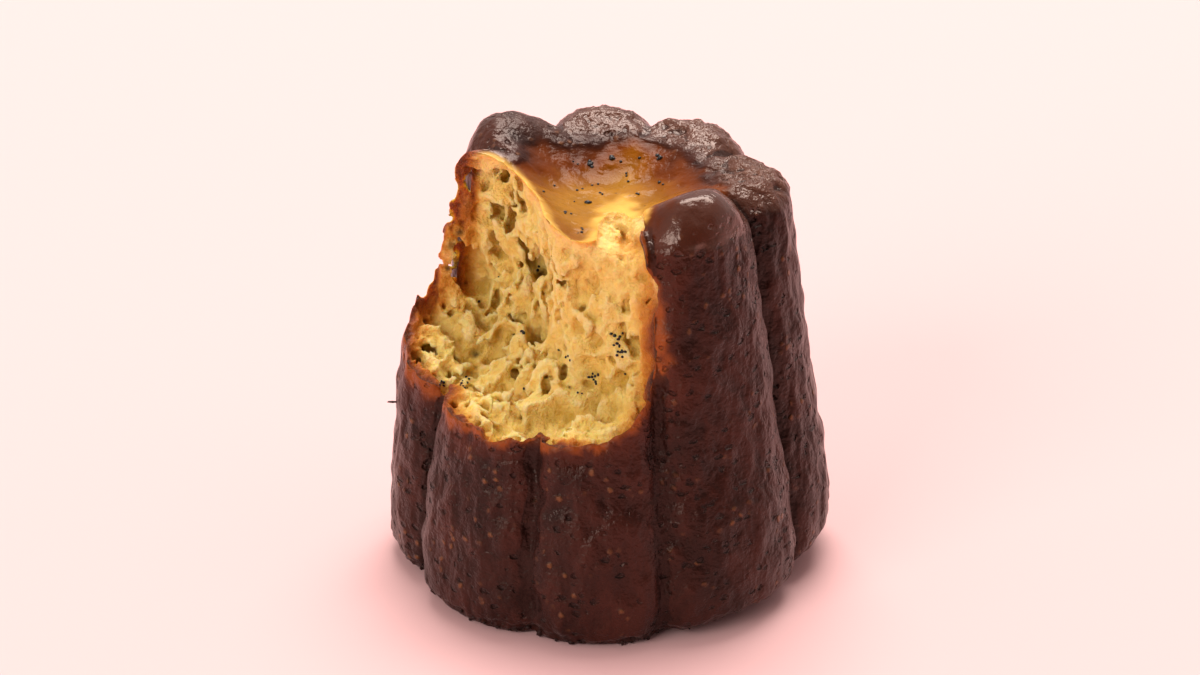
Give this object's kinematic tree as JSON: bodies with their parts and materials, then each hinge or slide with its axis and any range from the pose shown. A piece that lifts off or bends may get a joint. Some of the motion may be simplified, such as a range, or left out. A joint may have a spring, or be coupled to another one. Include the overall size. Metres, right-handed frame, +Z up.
{
  "type": "canele",
  "caption": "Small fluted, tapered cake with a dark browned crust and a dished crown, bitten open at one side down to its pale, porous custard crumb.",
  "frame": {"origin": "centre of the flat underside that the cake rests on", "axes": "+Z up through the dished crown; -Y to the front, with the bite at the front left; +X to the right"},
  "size_m": [0.0549, 0.0551, 0.053],
  "materials": {
    "browned_crust": "dark browned, caramelised sugar crust, semi-gloss and finely pitted; pale yellow torn crumb in the bite"
  },
  "bodies": {
    "root": {"canele": "browned_crust"}
  },
  "joints": []
}
